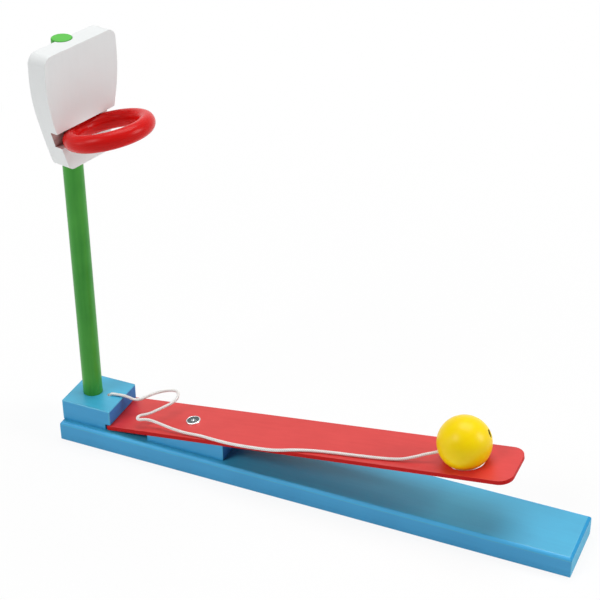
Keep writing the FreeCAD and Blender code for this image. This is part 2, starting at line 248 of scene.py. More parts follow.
def tube_along(name, points, radius):
    """A closed round tube whose UV map runs round it in turns and along it in girths."""
    girth = 2 * math.pi * radius
    stretches = [(b - a).normalized() for a, b in zip(points, points[1:])]
    middles = [(a + b).normalized() for a, b in zip(stretches, stretches[1:])]
    tangents = [stretches[0], *middles, stretches[-1]]
    across = tangents[0].orthogonal().normalized()
    corners = []
    for here, tangent in zip(points, tangents):
        across = (across - tangent * across.dot(tangent)).normalized()
        upright = tangent.cross(across)
        for side in range(tube_sides):
            turn = 2 * math.pi * side / tube_sides
            corners.append(here + (across * math.cos(turn) + upright * math.sin(turn)) * radius)
    faces = []
    for ring in range(len(points) - 1):
        first = ring * tube_sides
        for side in range(tube_sides):
            following = (side + 1) % tube_sides
            faces.append((first + side, first + following,
                          first + tube_sides + following, first + tube_sides + side))
    last = (len(points) - 1) * tube_sides
    faces.append(tuple(reversed(range(tube_sides))))
    faces.append(tuple(range(last, last + tube_sides)))
    mesh = bpy.data.meshes.new(name)
    mesh.from_pydata(corners, [], faces)
    layer = mesh.uv_layers.new(name="UVMap")
    along = [0.0]
    for a, b in zip(points, points[1:]):
        along.append(along[-1] + (b - a).length / girth)
    for face in mesh.polygons[:-2]:
        for place, loop in enumerate(face.loop_indices):
            corner = mesh.loops[loop].vertex_index
            turned = corner % tube_sides / tube_sides
            if place in (1, 2) and turned == 0:
                turned = 1.0
            layer.data[loop].uv = (turned, along[corner // tube_sides])
    mesh.polygons.foreach_set("use_smooth", [True] * len(mesh.polygons))
    return add_object(name, mesh)


# %% Cut the string at its lift and make both stretches
lift_station = 176 * mm


def station_of(point):
    return (point - heel).dot(strip_along)


past_loop = max(i for i, p in enumerate(string_path) if station_of(p) < lift_station)
before = string_path[past_loop]
after = string_path[past_loop + 1]
share = (lift_station - station_of(before)) / (station_of(after) - station_of(before))
lift_point = before.lerp(after, share)
lower_path = string_path[:past_loop + 1] + [lift_point]
upper_path = [lift_point] + string_path[past_loop + 1:]
lower_string = tube_along("string_lower", lower_path, string_diameter / 2)
upper_string = tube_along("string_upper", upper_path, string_diameter / 2)
print("lower", round(path_length(lower_path) / mm, 1), "mm, upper",
      round(path_length(upper_path) / mm, 1), "mm")

# %% [markdown]
# ## A few workshop habits
# Almost every piece starts as a plain solid at its real size and place, and is then worked on in
# edit mode. The operators act on whatever is selected, so each step first clears the selection
# and then picks faces or edges by where they are. Holes are drilled the way a workshop does it:
# a cutter is put in place, taken away from the wood, and thrown out.

# %% Helpers for starting and settling a piece


def leave_edit():
    bpy.ops.object.mode_set(mode="OBJECT")


def only(piece):
    """Select one piece and nothing else, in object mode."""
    if bpy.context.mode != "OBJECT":
        leave_edit()
    bpy.ops.object.select_all(action="DESELECT")
    piece.select_set(True)
    bpy.context.view_layer.objects.active = piece


def fix_in_place(piece):
    """Move a piece's place, turn and size into its mesh."""
    only(piece)
    bpy.ops.object.transform_apply(location=True, rotation=True, scale=True)


def settle(name):
    """Name the new primitive and fix it in place."""
    piece = bpy.context.object
    piece.name = name
    piece.data.name = name
    fix_in_place(piece)
    return piece


def new_block(name, low, high):
    """A plain block between two corners."""
    bpy.ops.object.select_all(action="DESELECT")
    bpy.ops.mesh.primitive_cube_add(size=1, location=(low + high) / 2, scale=high - low)
    return settle(name)


def new_rod(name, foot, head, radius, sides):
    """A plain round rod between two points."""
    reach = head - foot
    turned = reach.to_track_quat("Z", "Y").to_euler()
    bpy.ops.object.select_all(action="DESELECT")
    bpy.ops.mesh.primitive_cylinder_add(
        vertices=sides, radius=radius, depth=reach.length, location=(foot + head) / 2, rotation=turned
    )
    return settle(name)


# %% Helpers for picking what an operator works on


def edit_all(piece):
    """Open a piece in edit mode with all of it selected."""
    only(piece)
    bpy.ops.object.mode_set(mode="EDIT")
    bpy.ops.mesh.select_all(action="SELECT")


def edit_none(piece, kind):
    """Open a piece in edit mode with nothing selected, and hand back its mesh to pick from."""
    only(piece)
    bpy.ops.object.mode_set(mode="EDIT")
    bpy.ops.mesh.select_mode(type=kind)
    bpy.ops.mesh.select_all(action="DESELECT")
    return bmesh.from_edit_mesh(piece.data)


def select_parts(piece, parts):
    """Select some edges or faces of a piece that is open in edit mode."""
    for part in parts:
        part.select_set(True)
    bmesh.update_edit_mesh(piece.data)
    return len(parts)


def pick_edges(piece, test):
    """In edit mode, select the edges whose two ends pass the test."""
    shape = edit_none(piece, "EDGE")
    picked = [edge for edge in shape.edges if test(edge.verts[0].co, edge.verts[1].co)]
    return select_parts(piece, picked)


def pick_faces(piece, test):
    """In edit mode, select the faces whose centre and normal pass the test."""
    shape = edit_none(piece, "FACE")
    picked = [face for face in shape.faces if test(face.calc_center_median(), face.normal)]
    return select_parts(piece, picked)


# %% Helpers for setting faces apart and rounding edges
flat_on = 0.995
mainly = 0.9


def is_long_side(centre, normal):
    return abs(normal.y) > flat_on


def is_end(centre, normal):
    return abs(normal.x) > flat_on


def set_apart(piece, test, slot=1):
    """Put the faces that pass the test in another material slot, for a finish of their own."""
    only(piece)
    while len(piece.material_slots) <= slot:
        bpy.ops.object.material_slot_add()
    piece.active_material_index = slot
    count = pick_faces(piece, test)
    bpy.ops.object.material_slot_assign()
    leave_edit()
    return count


def round_edges(piece, test, radius, steps):
    """Round the edges that pass the test, as a router bit or sandpaper does."""
    count = pick_edges(piece, test)
    bpy.ops.mesh.bevel(offset=radius, segments=steps, affect="EDGES")
    leave_edit()
    return count


# %% Helpers for cutting, drilling and finishing


def apply_modifier(piece, kind, name, **settings):
    only(piece)
    modifier = piece.modifiers.new(name, kind)
    for key, value in settings.items():
        setattr(modifier, key, value)
    bpy.ops.object.modifier_apply(modifier=name)


def cut_away(piece, cutter):
    """Take the cutter's volume out of the piece."""
    apply_modifier(piece, "BOOLEAN", "cut", operation="DIFFERENCE", solver="EXACT", object=cutter)
    bpy.data.objects.remove(cutter)


def cut_across(piece, place, direction, **sides):
    """Cut a piece through along a plane. sides can say that one side is cleared and closed."""
    edit_all(piece)
    bpy.ops.mesh.bisect(plane_co=place, plane_no=direction, **sides)
    leave_edit()


def drill(piece, x, low, high, radius, sides=48):
    """Drill a hole straight down at x, on the middle line of the piece."""
    foot = Vector((x, 0, low))
    head = Vector((x, 0, high))
    cut_away(piece, new_rod("drill_bit", foot, head, radius, sides))


def shade_smooth(piece, angle=40):
    """Shade a piece smoothly, except over edges sharper than an angle in degrees."""
    only(piece)
    bpy.ops.object.shade_smooth_by_angle(angle=math.radians(angle))


def ease_edges(piece, radius, steps=3, angle=40):
    """Sand every edge that is still sharp, and shade the piece smoothly."""
    apply_modifier(
        piece, "BEVEL", "ease", width=radius, segments=steps, limit_method="ANGLE",
        angle_limit=math.radians(angle), use_clamp_overlap=True, harden_normals=False,
    )
    shade_smooth(piece, angle)
    apply_modifier(piece, "WEIGHTED_NORMAL", "even", keep_sharp=True)
    print(piece.name, len(piece.data.polygons), "faces")


# %% [markdown]
# ## The base plank
# On the toy this is a planed beech plank with a softly rounded top edge and crisp corners. It
# could be a box with a bevel modifier, but the top edges are much rounder than the rest, so they
# are rounded first by themselves and the other edges only get a touch of sandpaper. The socket
# for the pole is drilled before the last sanding. The long sides, the ends and the rounding over
# each of them go into material slots of their own, because each is later painted a blue of its
# own that stands in for light and shade: painted shade or a painted highlight.

# %% Model the base plank
base_low, base_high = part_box("base_board")
pole_low, pole_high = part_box("pole")
pole_centre = (pole_low + pole_high) / 2
pole_radius = (pole_high.y - pole_low.y) / 2
glue_gap = 0.05 * mm
base_top_round = 2.3 * mm
sanded_edge = 0.35 * mm
nearly_level = 0.99
nearly_upright = 0.2

plank = new_block("base_plank", base_low, base_high)
top_edges = round_edges(
    plank, lambda a, b: min(a.z, b.z) > base_high.z - tiny, base_top_round, steps=6
)
drill(
    plank,
    pole_centre.x,
    pole_low.z - glue_gap,
    base_high.z + base_top_round,
    pole_radius + glue_gap,
)
ease_edges(plank, sanded_edge)

# %% Set the plank's faces apart


def on_top_round(centre, normal):
    """The face is on the rounding between the plank's top and its sides or ends."""
    slopes = nearly_upright < normal.z < nearly_level
    return slopes and centre.z > base_high.z - base_top_round


# Painted shade goes on the long sides and the rounding over the ends, a painted highlight on the
# rounding over the sides, and a duller copy of the blue on the ends.
set_apart(plank, is_long_side)
round_sides = set_apart(
    plank,
    lambda centre, normal: on_top_round(centre, normal) and abs(normal.x) < nearly_upright,
    slot=2,
)
set_apart(plank, is_end, slot=3)
round_ends = set_apart(
    plank,
    lambda centre, normal: on_top_round(centre, normal) and abs(normal.x) >= nearly_upright,
    slot=4,
)
print("rounded", top_edges, "top edges, with", round_sides, "faces over the sides and",
      round_ends, "over the ends")

# %% [markdown]
# ## The post block
# The block that holds the pole is a small cube of the same wood, glued on the plank. A rebate is
# sawn along its lower edge so that the strip's heel can slip under it. The saw cut is a plain
# block taken away, and the pole's hole and the string's hole are drilled. The long sides, the
# ends and the string's hole are set apart, because each of them gets its own finish: painted
# shade on the sides and the ends, and bare wood in the hole.

# %% Model the post block
block_low, block_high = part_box("post_block")
block_edge_round = 0.7 * mm
rebate_depth = 3.4 * mm
heel_under_block = 2.3 * mm
strip_climb = (heel_under_block + strip_thickness) * math.tan(strip_rise)
rebate_top = strip_point(0, 0, 0).z + strip_climb + 2 * glue_gap
cut_margin = 5.0 * mm
string_hole_radius = 1.3 * mm
string_hole_depth = 6.0 * mm
string_hole_rim = 0.2 * mm
block_sanding = 0.25 * mm

block = new_block("post_foot", block_low, block_high)
round_edges(
    block,
    lambda a, b: min(a.z, b.z) > block_high.z - tiny or abs(a.z - b.z) > block_edge_round,
    block_edge_round,
    steps=4,
)
saw = new_block(
    "saw",
    Vector((block_high.x - rebate_depth, block_low.y - cut_margin, block_low.z - cut_margin)),
    Vector((block_high.x + cut_margin, block_high.y + cut_margin, rebate_top)),
)
cut_away(block, saw)
drill(
    block,
    pole_centre.x,
    block_low.z - cut_margin,
    block_high.z + cut_margin,
    pole_radius + glue_gap,
)
string_exit = string_path[0]
drill(
    block,
    string_exit.x,
    block_high.z - string_hole_depth,
    block_high.z + cut_margin,
    string_hole_radius,
    sides=24,
)
ease_edges(block, block_sanding, steps=2)
# The long sides and the ends get painted shade: a deeper blue on the sides, darker still on the ends.
set_apart(block, is_long_side)
set_apart(block, is_end, slot=2)


def in_string_hole(centre, normal):
    return (centre.xy - string_exit.xy).length < string_hole_radius + string_hole_rim


hole_faces = set_apart(block, in_string_hole, slot=3)
print("string hole", hole_faces, "faces")

# %% [markdown]
# ## The wedge
# A small sloping block lies under the strip and sets its angle. It starts as a box as high as
# its high end, and the top edge at its low end is pulled down along Z until the top face lies
# along the strip.

# %% Model the wedge
wedge_low, wedge_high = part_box("wedge_block")
low_end_height = heel.z + (wedge_low.x - heel.x) * math.tan(strip_rise)
wedge = new_block("ramp_wedge", wedge_low, wedge_high)
pick_edges(
    wedge, lambda a, b: max(a.x, b.x) < wedge_low.x + tiny and min(a.z, b.z) > wedge_high.z - tiny
)
bpy.ops.transform.translate(value=(0, 0, low_end_height - wedge_high.z))
leave_edit()
ease_edges(wedge, sanded_edge)
# The wedge's long sides and ends get painted shade, as on the block.
set_apart(wedge, is_long_side)
set_apart(wedge, is_end, slot=2)

# %% [markdown]
# ## The pole
# The pole is a length of dowel with both ends slightly rounded. A cylinder is the right start,
# and its end rims are rounded in edit mode with a few steps, as sandpaper leaves them. The sawn
# top is set apart for a lighter green, a painted highlight for the light that falls on it.

# %% Model the pole
pole_end_round = 0.6 * mm
pole = new_rod(
    "pole_dowel",
    Vector((pole_centre.x, 0, pole_low.z)),
    Vector((pole_centre.x, 0, pole_high.z)),
    pole_radius,
    sides=96,
)
rim_edges = round_edges(pole, lambda a, b: abs(a.z - b.z) < tiny, pole_end_round, steps=4)
shade_smooth(pole)
apply_modifier(pole, "WEIGHTED_NORMAL", "even", keep_sharp=True)
# The top gets a lighter green as a painted highlight.
set_apart(pole, lambda centre, normal: normal.z > mainly)
print("pole", len(pole.data.polygons), "faces, rims", rim_edges)

# %% [markdown]
# ## The backboard
# The board is a shield: nearly straight at the top, with sides that swell out and then draw in
# to a narrow foot. It starts as a block in its own frame, with the pole's axis at the origin. The
# block is cut level by level, and each level is narrowed to the outline's width there. Its four
# corners are rounded, a slot is sawn across the front for the hoop and a round groove is run up
# the back for the pole. The slot's faces are set apart for a brownish colour of their own. Last
# the board is turned a little on the pole, as the maker glued it.

# %% Cut the backboard's outline
board_turn = math.radians(-12.3)
board_thickness = 12.3 * mm
board_width = 57.3 * mm
board_back = 0.7 * mm
board_front = board_back + board_thickness
board_aside = 0.55 * mm
board_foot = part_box("backboard")[0].z
board_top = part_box("backboard")[1].z
board_height = board_top - board_foot
height_shares = (1.0, 0.80, 0.60, 0.40, 0.20, 0.0)
width_shares = (0.984, 0.990, 0.957, 0.846, 0.703, 0.537)


def board_share(height):
    """The outline's width share at a height share, on a smooth curve through the table."""
    rows = list(zip(height_shares, width_shares))
    total = 0.0
    for index, (row_height, row_width) in enumerate(rows):
        weight = 1.0
        for other, (other_height, _) in enumerate(rows):
            if other != index:
                weight *= (height - other_height) / (row_height - other_height)
        total += weight * row_width
    return total


board = new_block(
    "back_board",
    Vector((board_back, -board_width / 2, board_foot)),
    Vector((board_front, board_width / 2, board_top)),
)
levels = 24
lowest_level = 0.07
highest_level = 0.88
for step in range(levels):
    level = lowest_level + (highest_level - lowest_level) * step / (levels - 1)
    cut_across(board, (0, 0, board_foot + level * board_height), (0, 0, 1))
level_heights = sorted({round(corner.co.z, 7) for corner in board.data.vertices})
for z in level_heights:
    pick_edges(board, lambda a, b, z=z: abs(a.z - z) < tiny and abs(b.z - z) < tiny)
    bpy.ops.transform.resize(
        value=(1, board_share((z - board_foot) / board_height), 1), center_override=(0, 0, z)
    )
    leave_edit()
print("board", len(level_heights), "levels")

# %% Round the backboard's corners, cut its slot and its groove
board_top_corner = 6.0 * mm
board_foot_corner = 3.0 * mm
slot_depth = 5.0 * mm
slot_foot = 204.3 * mm
slot_head = 214.0 * mm
slot_floor = board_front - slot_depth
side_lean = 0.1
board_sanding = 0.5 * mm


def runs_through(a, b, z):
    """The edge runs from the board's front to its back at a height."""
    return abs(a.x - b.x) > board_thickness / 2 and abs(a.z - z) < tiny and abs(b.z - z) < tiny


round_edges(board, lambda a, b: runs_through(a, b, board_top), board_top_corner, steps=8)
round_edges(board, lambda a, b: runs_through(a, b, board_foot), board_foot_corner, steps=6)
slot_saw = new_block(
    "slot_saw",
    Vector((slot_floor, -board_width, slot_foot)),
    Vector((board_front + cut_margin, board_width, slot_head)),
)
cut_away(board, slot_saw)


def in_slot(centre, normal):
    """The face is the slot's floor, its foot or its head, and no side of the board."""
    deep = slot_floor - tiny < centre.x < board_front - tiny
    level = slot_foot - tiny < centre.z < slot_head + tiny
    return deep and level and abs(normal.y) < side_lean


slot_faces = set_apart(board, in_slot)
edit_all(board)
bpy.ops.transform.translate(value=(0, board_aside, 0))
leave_edit()
drill(board, 0, board_foot - cut_margin, board_top + cut_margin, pole_radius + glue_gap, sides=64)
ease_edges(board, board_sanding)
print("slot", slot_faces, "faces")

# %% Turn the board on the pole


def turn_on_pole(piece):
    """Turn a piece made round the origin with the board, and move it to the pole."""
    piece.rotation_euler.z = board_turn
    piece.location = (pole_centre.x, 0, 0)
    fix_in_place(piece)


turn_on_pole(board)
print("board turned", round(math.degrees(board_turn), 1), "degrees")

# %% [markdown]
# ## The hoop
# The hoop is a turned wooden ring, taller than it is wide in section. A torus gives the round
# path, and stretching it in Z makes its section oval. It is tipped up as on the toy, and the
# stretch that would go deeper than the slot is sliced off flat and closed, as the maker sands a
# flat on the ring so that it sits on the slot's floor. Two more saw cuts let it in between the
# slot's foot and head.

# %% Model the hoop
hoop_outer = 52.3 * mm
hoop_section_width = 9.4 * mm
hoop_height = 10.1 * mm
hoop_tilt = math.radians(-14.5)
hoop_reach = 16.79 * mm
hoop_level = board_foot + 23.2 * mm

bpy.ops.object.select_all(action="DESELECT")
bpy.ops.mesh.primitive_torus_add(
    major_radius=(hoop_outer - hoop_section_width) / 2,
    minor_radius=hoop_section_width / 2,
    major_segments=160,
    minor_segments=48,
)
hoop = settle("hoop_turned")
edit_all(hoop)
bpy.ops.transform.resize(value=(1, 1, hoop_height / hoop_section_width), center_override=(0, 0, 0))
leave_edit()
hoop.rotation_euler.y = hoop_tilt
hoop.location = (board_front + hoop_reach, board_aside, hoop_level)
fix_in_place(hoop)

# %% Fit the hoop to its slot
cut_across(hoop, (slot_floor + glue_gap, 0, 0), (1, 0, 0), use_fill=True, clear_inner=True)
for name, low_level, high_level in (
    ("under_saw", hoop_level - hoop_outer, slot_foot + glue_gap),
    ("over_saw", slot_head - glue_gap, hoop_level + hoop_outer),
):
    trim = new_block(
        name,
        Vector((-cut_margin, -board_width, low_level)),
        Vector((board_front + glue_gap, board_width, high_level)),
    )
    cut_away(hoop, trim)
shade_smooth(hoop)
turn_on_pole(hoop)
print("hoop", len(hoop.data.polygons), "faces")

# %% [markdown]
# ## The springy strip
# One piece of thin plywood runs from under the block to the free end. The motion model holds it
# as two stiff pieces with a hinge, and here it is one mesh, cut across at many stations between
# them, where the toy bends. The free corners are rounded, the seat hole for the ball is drilled
# and its rim chamfered, and the whole is sanded. Its edges get a deeper red as painted shade, so
# they are set apart. Last it is laid on its slope and moved to its heel.

# %% Model the strip flat
strip_length = 256.6 * mm
strip_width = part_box("strip_root")[1].y * 2
strip_corner = 8.0 * mm
seat_from_tip = 30.5 * mm
seat_radius = 10.6 * mm
seat_chamfer = 1.2 * mm
clamp_station = 79.2 * mm
bend_end_station = 132.46 * mm
bend_cuts = 22

strip = new_block(
    "spring_strip",
    Vector((0, -strip_width / 2, 0)),
    Vector((strip_length, strip_width / 2, strip_thickness)),
)
round_edges(
    strip,
    lambda a, b: min(a.x, b.x) > strip_length - tiny and abs(a.z - b.z) > tiny,
    strip_corner,
    steps=10,
)
for cut in range(bend_cuts):
    station = clamp_station + (bend_end_station - clamp_station) * cut / (bend_cuts - 1)
    cut_across(strip, (station, 0, 0), (1, 0, 0))
seat_station = strip_length - seat_from_tip
drill(strip, seat_station, -cut_margin, cut_margin, seat_radius, sides=96)

# %% Chamfer the seat's rim
seat = Vector((seat_station, 0))
rim_slack = 0.05 * mm


def on_seat_rim(a, b):
    """Both ends of the edge are on the seat hole's upper rim."""
    near = [abs((p.xy - seat).length - seat_radius) < rim_slack for p in (a, b)]
    return all(near) and min(a.z, b.z) > strip_thickness - tiny


rim = round_edges(strip, on_seat_rim, seat_chamfer, steps=1)
print("strip seat rim edges", rim)

# %% Finish the strip and lay it on its slope
strip_sanding = 0.3 * mm
edge_lean = 0.5


def lay_on_slope(piece, place):
    """Turn a piece that was made level to the strip's slope, and move it to its place."""
    piece.rotation_euler.y = -strip_rise
    piece.location = place
    fix_in_place(piece)


ease_edges(strip, strip_sanding, steps=2, angle=50)
# The edges get a deeper red as painted shade.
set_apart(strip, lambda centre, normal: abs(normal.z) < edge_lean)
lay_on_slope(strip, heel)
print("strip box", [round(value, 4) for value in strip.bound_box[0]],
      [round(value, 4) for value in strip.bound_box[6]])

# %% [markdown]
# ## The screw
# A pan-head screw holds the strip on the wedge. A ring of corners is the start: it is raised and
# drawn in step by step to make the rim and the rounded shoulder, then sunk a little towards the
# middle, as cold-headed screws are, and below it the shank goes down to a point. The dished
# middle is set apart and later painted as dark metal, a painted reflection, and the cross recess
# is two tapered bars taken away.

# %% Model the screw standing upright
screw_station = 51.6 * mm
head_radius = 4.5 * mm
shank_radius = 2.0 * mm
screw_length = 20.0 * mm
screw_point = 4.0 * mm
screw_tip_radius = 0.1 * mm
head_profile = (
    (4.5, 0.55),
    (4.46, 0.8),
    (4.36, 1.02),
    (4.22, 1.17),
    (4.06, 1.23),
    (3.92, 1.23),
    (3.8, 1.16),
    (3.7, 1.02),
    (2.2, 0.94),
    (0.4, 0.9),
)
dish_radius = 3.75 * mm
dish_top = 1.1 * mm

bpy.ops.object.select_all(action="DESELECT")
bpy.ops.mesh.primitive_circle_add(vertices=64, radius=head_radius, fill_type="NOTHING")
screw = settle("pan_screw")


def extend_ring(distance, old_radius, new_radius):
    """Extrude the selected ring along Z and draw it to a new radius."""
    bpy.ops.mesh.extrude_region_move(TRANSFORM_OT_translate={"value": (0, 0, distance)})
    share = new_radius / old_radius
    bpy.ops.transform.resize(value=(share, share, 1), center_override=(0, 0, 0))


def face_outwards(piece):
    edit_all(piece)
    bpy.ops.mesh.normals_make_consistent(inside=False)
    leave_edit()


pick_edges(screw, lambda a, b: True)
radius = head_radius
height = 0.0
for next_radius, next_height in head_profile:
    extend_ring(next_height * mm - height, radius, next_radius * mm)
    radius = next_radius * mm
    height = next_height * mm
bpy.ops.mesh.edge_face_add()
pick_edges(screw, lambda a, b: max(a.z, b.z) < tiny)
extend_ring(0, head_radius, shank_radius)
extend_ring(screw_point - screw_length, shank_radius, shank_radius)
extend_ring(-screw_point, shank_radius, screw_tip_radius)
bpy.ops.mesh.edge_face_add()
face_outwards(screw)
# The dish gets dark metal as a painted reflection.
dished = set_apart(
    screw,
    lambda centre, normal: 0 < centre.z < dish_top
    and math.hypot(centre.x, centre.y) < dish_radius,
)
print("screw", len(screw.data.polygons), "faces, dished", dished)

# %% Cut the cross recess and set the screw in the strip
recess_width = 1.4 * mm
recess_span = 5.2 * mm
recess_depth = 0.78 * mm
recess_taper = 0.45
recess_top = height
recess_turns = (20, 110)
screw_sanding = 0.08 * mm
for degrees in recess_turns:
    arm = new_block(
        "recess_arm",
        Vector((-recess_span / 2, -recess_width / 2, recess_top - recess_depth)),
        Vector((recess_span / 2, recess_width / 2, recess_top + cut_margin)),
    )
    pick_faces(arm, lambda centre, normal: normal.z < -mainly)
    bpy.ops.transform.resize(value=(recess_taper, recess_taper, 1))
    leave_edit()
    arm.rotation_euler.z = math.radians(degrees)
    fix_in_place(arm)
    cut_away(screw, arm)
ease_edges(screw, screw_sanding, steps=2, angle=35)
lay_on_slope(screw, strip_point(screw_station, 0, 0))

# %% [markdown]
# ## The ball
# The ball is turned wood with a stepped hole: narrow where the string goes in, wide behind it
# for the knot. A round sphere whose poles lie on the hole's axis makes this easy, because its
# rings of faces are already round there. The cap of faces inside each mouth is deleted, its ring
# is drawn to the mouth's size, and the wall is extruded inwards and joined. The bare wood inside
# is set apart and painted a dark brown, as painted shade for the deep hole.

# %% Model the ball on its hole's axis
narrow_radius = 1.3 * mm
wide_radius = 2.6 * mm
mouth_round = 0.3 * mm
mouth_turn = 0.12 * mm
ball_rings = 64

bpy.ops.object.select_all(action="DESELECT")
bpy.ops.mesh.primitive_uv_sphere_add(segments=96, ring_count=ball_rings, radius=ball_radius)
ball = settle("wooden_ball")


def open_mouth(up, mouth_radius):
    """Delete the cap inside a mouth, draw its ring to the mouth's radius and say its height."""
    pick_faces(
        ball,
        lambda centre, normal: centre.z * up > 0 and math.hypot(centre.x, centre.y) < mouth_radius,
    )
    bpy.ops.mesh.delete(type="FACE")
    shape = edit_none(ball, "EDGE")
    ring = [edge for edge in shape.edges if edge.is_boundary and edge.verts[0].co.z * up > 0]
    ring_radius = math.hypot(*ring[0].verts[0].co[:2])
    ring_height = ring[0].verts[0].co.z
    select_parts(ball, ring)
    mouth_height = up * math.sqrt(ball_radius**2 - mouth_radius**2)
    share = mouth_radius / ring_radius
    bpy.ops.transform.resize(value=(share, share, 1), center_override=(0, 0, 0))
    bpy.ops.transform.translate(value=(0, 0, mouth_height - ring_height))
    return mouth_height


def make_mouth(up, hole_radius):
    """Open a mouth, round its lip inwards to the hole's radius and say its height."""
    mouth_height = open_mouth(up, hole_radius + mouth_round)
    extend_ring(-up * mouth_turn, hole_radius + mouth_round, hole_radius + mouth_turn)
    extend_ring(-up * mouth_round, hole_radius + mouth_turn, hole_radius)
    return mouth_height


shoulder_height = bore_length - ball_radius
wide_mouth = make_mouth(1, wide_radius)
wall_head = wide_mouth - mouth_turn - mouth_round
extend_ring(shoulder_height - wall_head, wide_radius, wide_radius)
extend_ring(0, wide_radius, narrow_radius)
leave_edit()
make_mouth(-1, narrow_radius)
leave_edit()
print("mouths", round(wide_radius * 2 / mm, 2), "and", round(narrow_radius * 2 / mm, 2), "mm")

# %% Join the hole's two stretches
shape = edit_none(ball, "EDGE")
open_edges = select_parts(ball, [edge for edge in shape.edges if edge.is_boundary])
bpy.ops.mesh.bridge_edge_loops()
face_outwards(ball)
shade_smooth(ball)
print("joined", open_edges, "open edges")

# %% Set the hole's wall apart and put the ball in its seat
hole_reach = 14.8 * mm
wall_slack = 0.15 * mm


def in_hole(centre, normal):
    return centre.xy.length < wide_radius + wall_slack and abs(centre.z) < hole_reach


# The hole's wall gets a dark brown as painted shade.
hole_faces = set_apart(ball, in_hole)
ball.rotation_mode = "QUATERNION"
ball.rotation_quaternion = bore_along.to_track_quat("Z", "Y")
ball.location = ball_centre
fix_in_place(ball)
print("ball", len(ball.data.polygons), "faces, in the hole", hole_faces)

# %% [markdown]
# ## The knot
# The string ends in an overhand knot that stops against the step inside the ball. An overhand
# knot pulled round is close to a trefoil, a closed line with a simple formula, so the knot is a
# short tube along that line, squeezed to fit the wide part of the hole.

# %% Model the knot
knot_radius = 1.9 * mm
knot_gap = 0.1 * mm
knot_yarn_radius = 0.62 * mm
knot_points = 72
knot_scale = 0.4 * mm
knot_depth = 1.3
knot_share = 0.985
knot_centre = bore_shoulder + bore_along * (knot_radius + knot_gap)
side_way = bore_along.orthogonal().normalized()
other_way = bore_along.cross(side_way)
knot_path = []
for step in range(knot_points):
    t = 2 * math.pi * step / (knot_points - 1) * knot_share
    across = side_way * (math.sin(t) + 2 * math.sin(2 * t))
    upright = other_way * (math.cos(t) - 2 * math.cos(2 * t))
    loop = across + upright - bore_along * knot_depth * math.sin(3 * t)
    knot_path.append(knot_centre + loop * knot_scale)
knot = tube_along("string_knot", knot_path, knot_yarn_radius)
print("knot", round(path_length(knot_path) / mm, 1), "mm of string")

# %% [markdown]
# ## Painted wood
# Most of the toy is beech with a satin paint over it. Up close such paint isn't flat: it sinks a
# little between the fibres, pools in soft clouds and has the fine pebble of a roller or a spray.
# One recipe makes them all: noise stretched along the grain, a broad soft cloud in the colour and
# a very fine pebble in the bump. Colour, gloss and the grain's direction are set for each finish.
# A small helper adds a shader node and fills its inputs, so that a recipe reads from top to
# bottom.

# %% Helpers for recipes


def new_material(name):
    """A new material, its node tree and its surface shader."""
    material = bpy.data.materials.new(name)
    material.use_nodes = True
    return material, material.node_tree, material.node_tree.nodes["Principled BSDF"]


def add_node(tree, kind, values, **settings):
    """Add a shader node. Each input's value is a number, a colour or another node's output."""
    node = tree.nodes.new(kind)
    for key, value in settings.items():
        setattr(node, key, value)
    for key, value in values.items():
        if isinstance(value, bpy.types.NodeSocket):
            tree.links.new(value, node.inputs[key])
        else:
            node.inputs[key].default_value = value
    return node


def add_noise(tree, place, scale, detail, roughness=0.5):
    values = {"Vector": place, "Scale": scale, "Detail": detail, "Roughness": roughness}
    return add_node(tree, "ShaderNodeTexNoise", values).outputs["Fac"]


# %% Recipe for painted wood
fibre_scale = 420
cloud_scale = 38
pebble_scale = 2600
fibre_share = 0.45
shade_until = 0.3
colour_from = 0.66
pebble_relief = 0.25
pebble_depth = 0.02 * mm
fibre_relief = 0.5
fibre_depth = 0.05 * mm


def painted_wood(name, colour, shade, grain, roughness, gloss, relief=1.0):
    """A satin paint over wood. grain is the squeeze of the fibres along X, Y and Z, gloss is
    how strongly the coat mirrors and relief is how deep its bumps are."""
    material, tree, paint = new_material(name)
    paint.inputs["Roughness"].default_value = roughness
    paint.inputs["Specular IOR Level"].default_value = gloss
    place = add_node(tree, "ShaderNodeTexCoord", {}).outputs["Object"]
    stretch = add_node(tree, "ShaderNodeMapping", {"Vector": place, "Scale": grain})
    fibres = add_noise(tree, stretch.outputs["Vector"], fibre_scale, 5, 0.6)
    clouds = add_noise(tree, place, cloud_scale, 3)
    pebble = add_noise(tree, place, pebble_scale, 2)
    cloud_part = add_node(tree, "ShaderNodeMath", {0: clouds, 1: 1 - fibre_share}, operation="MULTIPLY")
    blend = add_node(
        tree,
        "ShaderNodeMath",
        {0: fibres, 1: fibre_share, 2: cloud_part.outputs["Value"]},
        operation="MULTIPLY_ADD",
    )
    tint = add_node(tree, "ShaderNodeValToRGB", {"Fac": blend.outputs["Value"]})
    tint.color_ramp.elements[0].position = shade_until
    tint.color_ramp.elements[0].color = (*shade, 1)
    tint.color_ramp.elements[1].position = colour_from
    tint.color_ramp.elements[1].color = (*colour, 1)
    tree.links.new(tint.outputs["Color"], paint.inputs["Base Color"])
    fine = add_node(
        tree,
        "ShaderNodeBump",
        {"Height": pebble, "Strength": pebble_relief * relief, "Distance": pebble_depth},
    )
    deep = add_node(
        tree,
        "ShaderNodeBump",
        {
            "Height": fibres,
            "Strength": fibre_relief * relief,
            "Distance": fibre_depth,
            "Normal": fine.outputs["Normal"],
        },
    )
    tree.links.new(deep.outputs["Normal"], paint.inputs["Normal"])
    return material


def dress(piece, *finishes):
    """Give each material slot of a piece its finish."""
    for place, finish in enumerate(finishes):
        if place < len(piece.data.materials):
            piece.data.materials[place] = finish
        else:
            piece.data.materials.append(finish)
